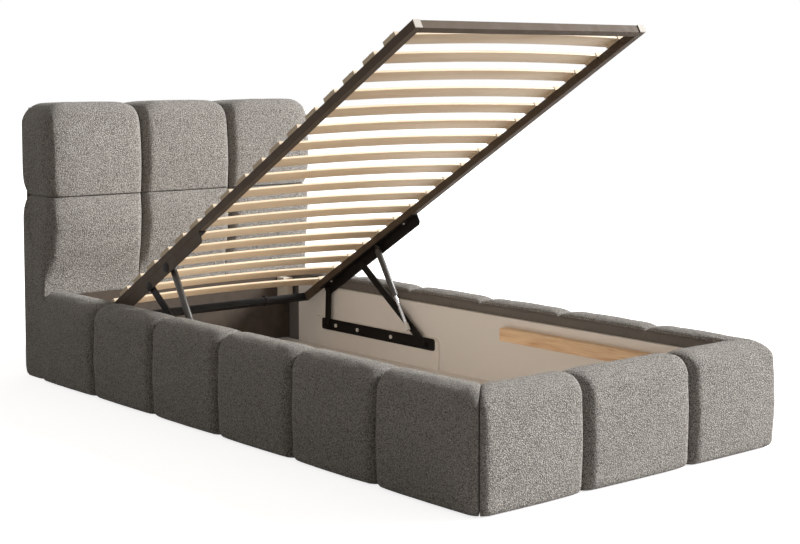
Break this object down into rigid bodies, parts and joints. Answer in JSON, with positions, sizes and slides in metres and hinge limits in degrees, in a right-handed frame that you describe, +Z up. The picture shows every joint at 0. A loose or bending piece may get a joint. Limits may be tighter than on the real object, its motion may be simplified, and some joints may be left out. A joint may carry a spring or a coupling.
{
  "type": "upholstered storage bed",
  "caption": "Single upholstered storage bed with a padded headboard and a slatted platform that lifts on links and gas springs over the storage box.",
  "frame": {"origin": "on the floor, in the middle of the bed's overall box, platform raised", "axes": "+Y from the foot to the headboard, +Z up, +X to the right seen from the foot"},
  "size_m": [1.188, 2.438, 1.225],
  "materials": {
    "boucle": "looped woven cloth",
    "back_cloth": "thin woven cloth",
    "lining_cloth": "smooth dark cloth",
    "laminate": "matt beige laminate on board",
    "board": "raw board",
    "pine": "planed softwood",
    "birch": "smooth bent plywood",
    "holder_plastic": "matt",
    "dark_plastic": "matt",
    "tube_paint": "satin powder coat",
    "mechanism_paint": "satin powder coat",
    "bolt_zinc": "zinc plated",
    "gas_paint": "satin paint",
    "rod_chrome": "polished",
    "fitting_plastic": "matt"
  },
  "bodies": {
    "bed_box": {"box_panel_left": "laminate", "box_panel_right": "laminate", "corner_posts": "pine", "floor_bearers": "pine", "floor_panels": "laminate", "foot_board": "board", "foot_cushion_1": "boucle", "foot_cushion_2": "boucle", "foot_cushion_3": "boucle", "foot_panel": "laminate", "glides": "dark_plastic", "head_inner_board": "board", "headboard_back_cover": "back_cloth", "headboard_cushion_lower_1": "boucle", "headboard_cushion_lower_2": "boucle", "headboard_cushion_lower_3": "boucle", "headboard_cushion_upper_1": "boucle", "headboard_cushion_upper_2": "boucle", "headboard_cushion_upper_3": "boucle", "headboard_frame": "board", "hinge_plate_bolts": "bolt_zinc", "hinge_plate_left": "mechanism_paint", "hinge_plate_right": "mechanism_paint", "inner_lining": "lining_cloth", "side_board_left": "board", "side_board_right": "board", "side_cushion_left_1": "boucle", "side_cushion_left_2": "boucle", "side_cushion_left_3": "boucle", "side_cushion_left_4": "boucle", "side_cushion_left_5": "boucle", "side_cushion_left_6": "boucle", "side_cushion_right_1": "boucle", "side_cushion_right_2": "boucle", "side_cushion_right_3": "boucle", "side_cushion_right_4": "boucle", "side_cushion_right_5": "boucle", "side_cushion_right_6": "boucle", "slat_rests": "pine", "support_boards": "laminate"},
    "platform": {"side_tube_left": "tube_paint", "side_tube_right": "tube_paint", "foot_tube": "tube_paint", "head_tube": "tube_paint", "tube_caps": "dark_plastic", "slats": "birch", "slat_holders": "holder_plastic", "hinge_angle_left": "mechanism_paint", "hinge_angle_right": "mechanism_paint", "angle_bolts": "bolt_zinc"},
    "front_link_left": {"front_link_left": "mechanism_paint"},
    "rear_link_left": {"rear_link_left": "mechanism_paint"},
    "gas_cylinder_left": {"gas_cylinder_left": "gas_paint"},
    "gas_rod_left": {"gas_rod_left": "rod_chrome", "gas_fitting_left": "fitting_plastic"},
    "front_link_right": {"front_link_right": "mechanism_paint"},
    "rear_link_right": {"rear_link_right": "mechanism_paint"},
    "gas_cylinder_right": {"gas_cylinder_right": "gas_paint"},
    "gas_rod_right": {"gas_rod_right": "rod_chrome", "gas_fitting_right": "fitting_plastic"}
  },
  "joints": [
    {"name": "front_link_left_pivot", "type": "hinge", "parent": "bed_box", "child": "front_link_left", "pos_m": [-0.435, 0.202, 0.13], "axis": [-1, 0, 0], "range_deg": [0, 24.13], "stiffness_Nm_per_rad": 150, "springref_deg": -65.89},
    {"name": "front_link_right_pivot", "type": "hinge", "parent": "bed_box", "child": "front_link_right", "pos_m": [0.435, 0.202, 0.13], "axis": [-1, 0, 0], "range_deg": [0, 24.13]},
    {"name": "platform_pivot", "type": "hinge", "parent": "front_link_left", "child": "platform", "pos_m": [-0.435, 0.55082, 0.37622], "axis": [1, 0, 0], "range_deg": [0, 54.43]},
    {"name": "rear_link_left_pivot", "type": "hinge", "parent": "bed_box", "child": "rear_link_left", "pos_m": [-0.435, 0.763, 0.13], "axis": [-1, 0, 0], "range_deg": [0, 52.5]},
    {"name": "gas_cylinder_left_pivot", "type": "hinge", "parent": "platform", "child": "gas_cylinder_left", "pos_m": [-0.4175, 0.44449, 0.44994], "axis": [-1, 0, 0], "range_deg": [0, 67.59]},
    {"name": "gas_rod_left_slide", "type": "slide", "parent": "gas_cylinder_left", "child": "gas_rod_left", "axis": [0, 0.5383, 0.8428], "range_m": [0, 0.10144]},
    {"name": "rear_link_right_pivot", "type": "hinge", "parent": "bed_box", "child": "rear_link_right", "pos_m": [0.435, 0.763, 0.13], "axis": [-1, 0, 0], "range_deg": [0, 52.5]},
    {"name": "gas_cylinder_right_pivot", "type": "hinge", "parent": "platform", "child": "gas_cylinder_right", "pos_m": [0.4175, 0.44449, 0.44994], "axis": [-1, 0, 0], "range_deg": [0, 67.59]},
    {"name": "gas_rod_right_slide", "type": "slide", "parent": "gas_cylinder_right", "child": "gas_rod_right", "axis": [0, 0.5383, 0.8428], "range_m": [0, 0.10144]}
  ],
  "couplings": [
    {"joint": "front_link_right_pivot", "follows": "front_link_left_pivot", "ratio": 1},
    {"joint": "platform_pivot", "follows": "front_link_left_pivot", "ratio": 2.2557},
    {"joint": "rear_link_left_pivot", "follows": "front_link_left_pivot", "ratio": 2.1756},
    {"joint": "gas_cylinder_left_pivot", "follows": "front_link_left_pivot", "ratio": 2.8012},
    {"joint": "gas_rod_left_slide", "follows": "front_link_left_pivot", "m_per_rad": 0.24084},
    {"joint": "rear_link_right_pivot", "follows": "front_link_left_pivot", "ratio": 2.1756},
    {"joint": "gas_cylinder_right_pivot", "follows": "front_link_left_pivot", "ratio": 2.8012},
    {"joint": "gas_rod_right_slide", "follows": "front_link_left_pivot", "m_per_rad": 0.24084}
  ]
}
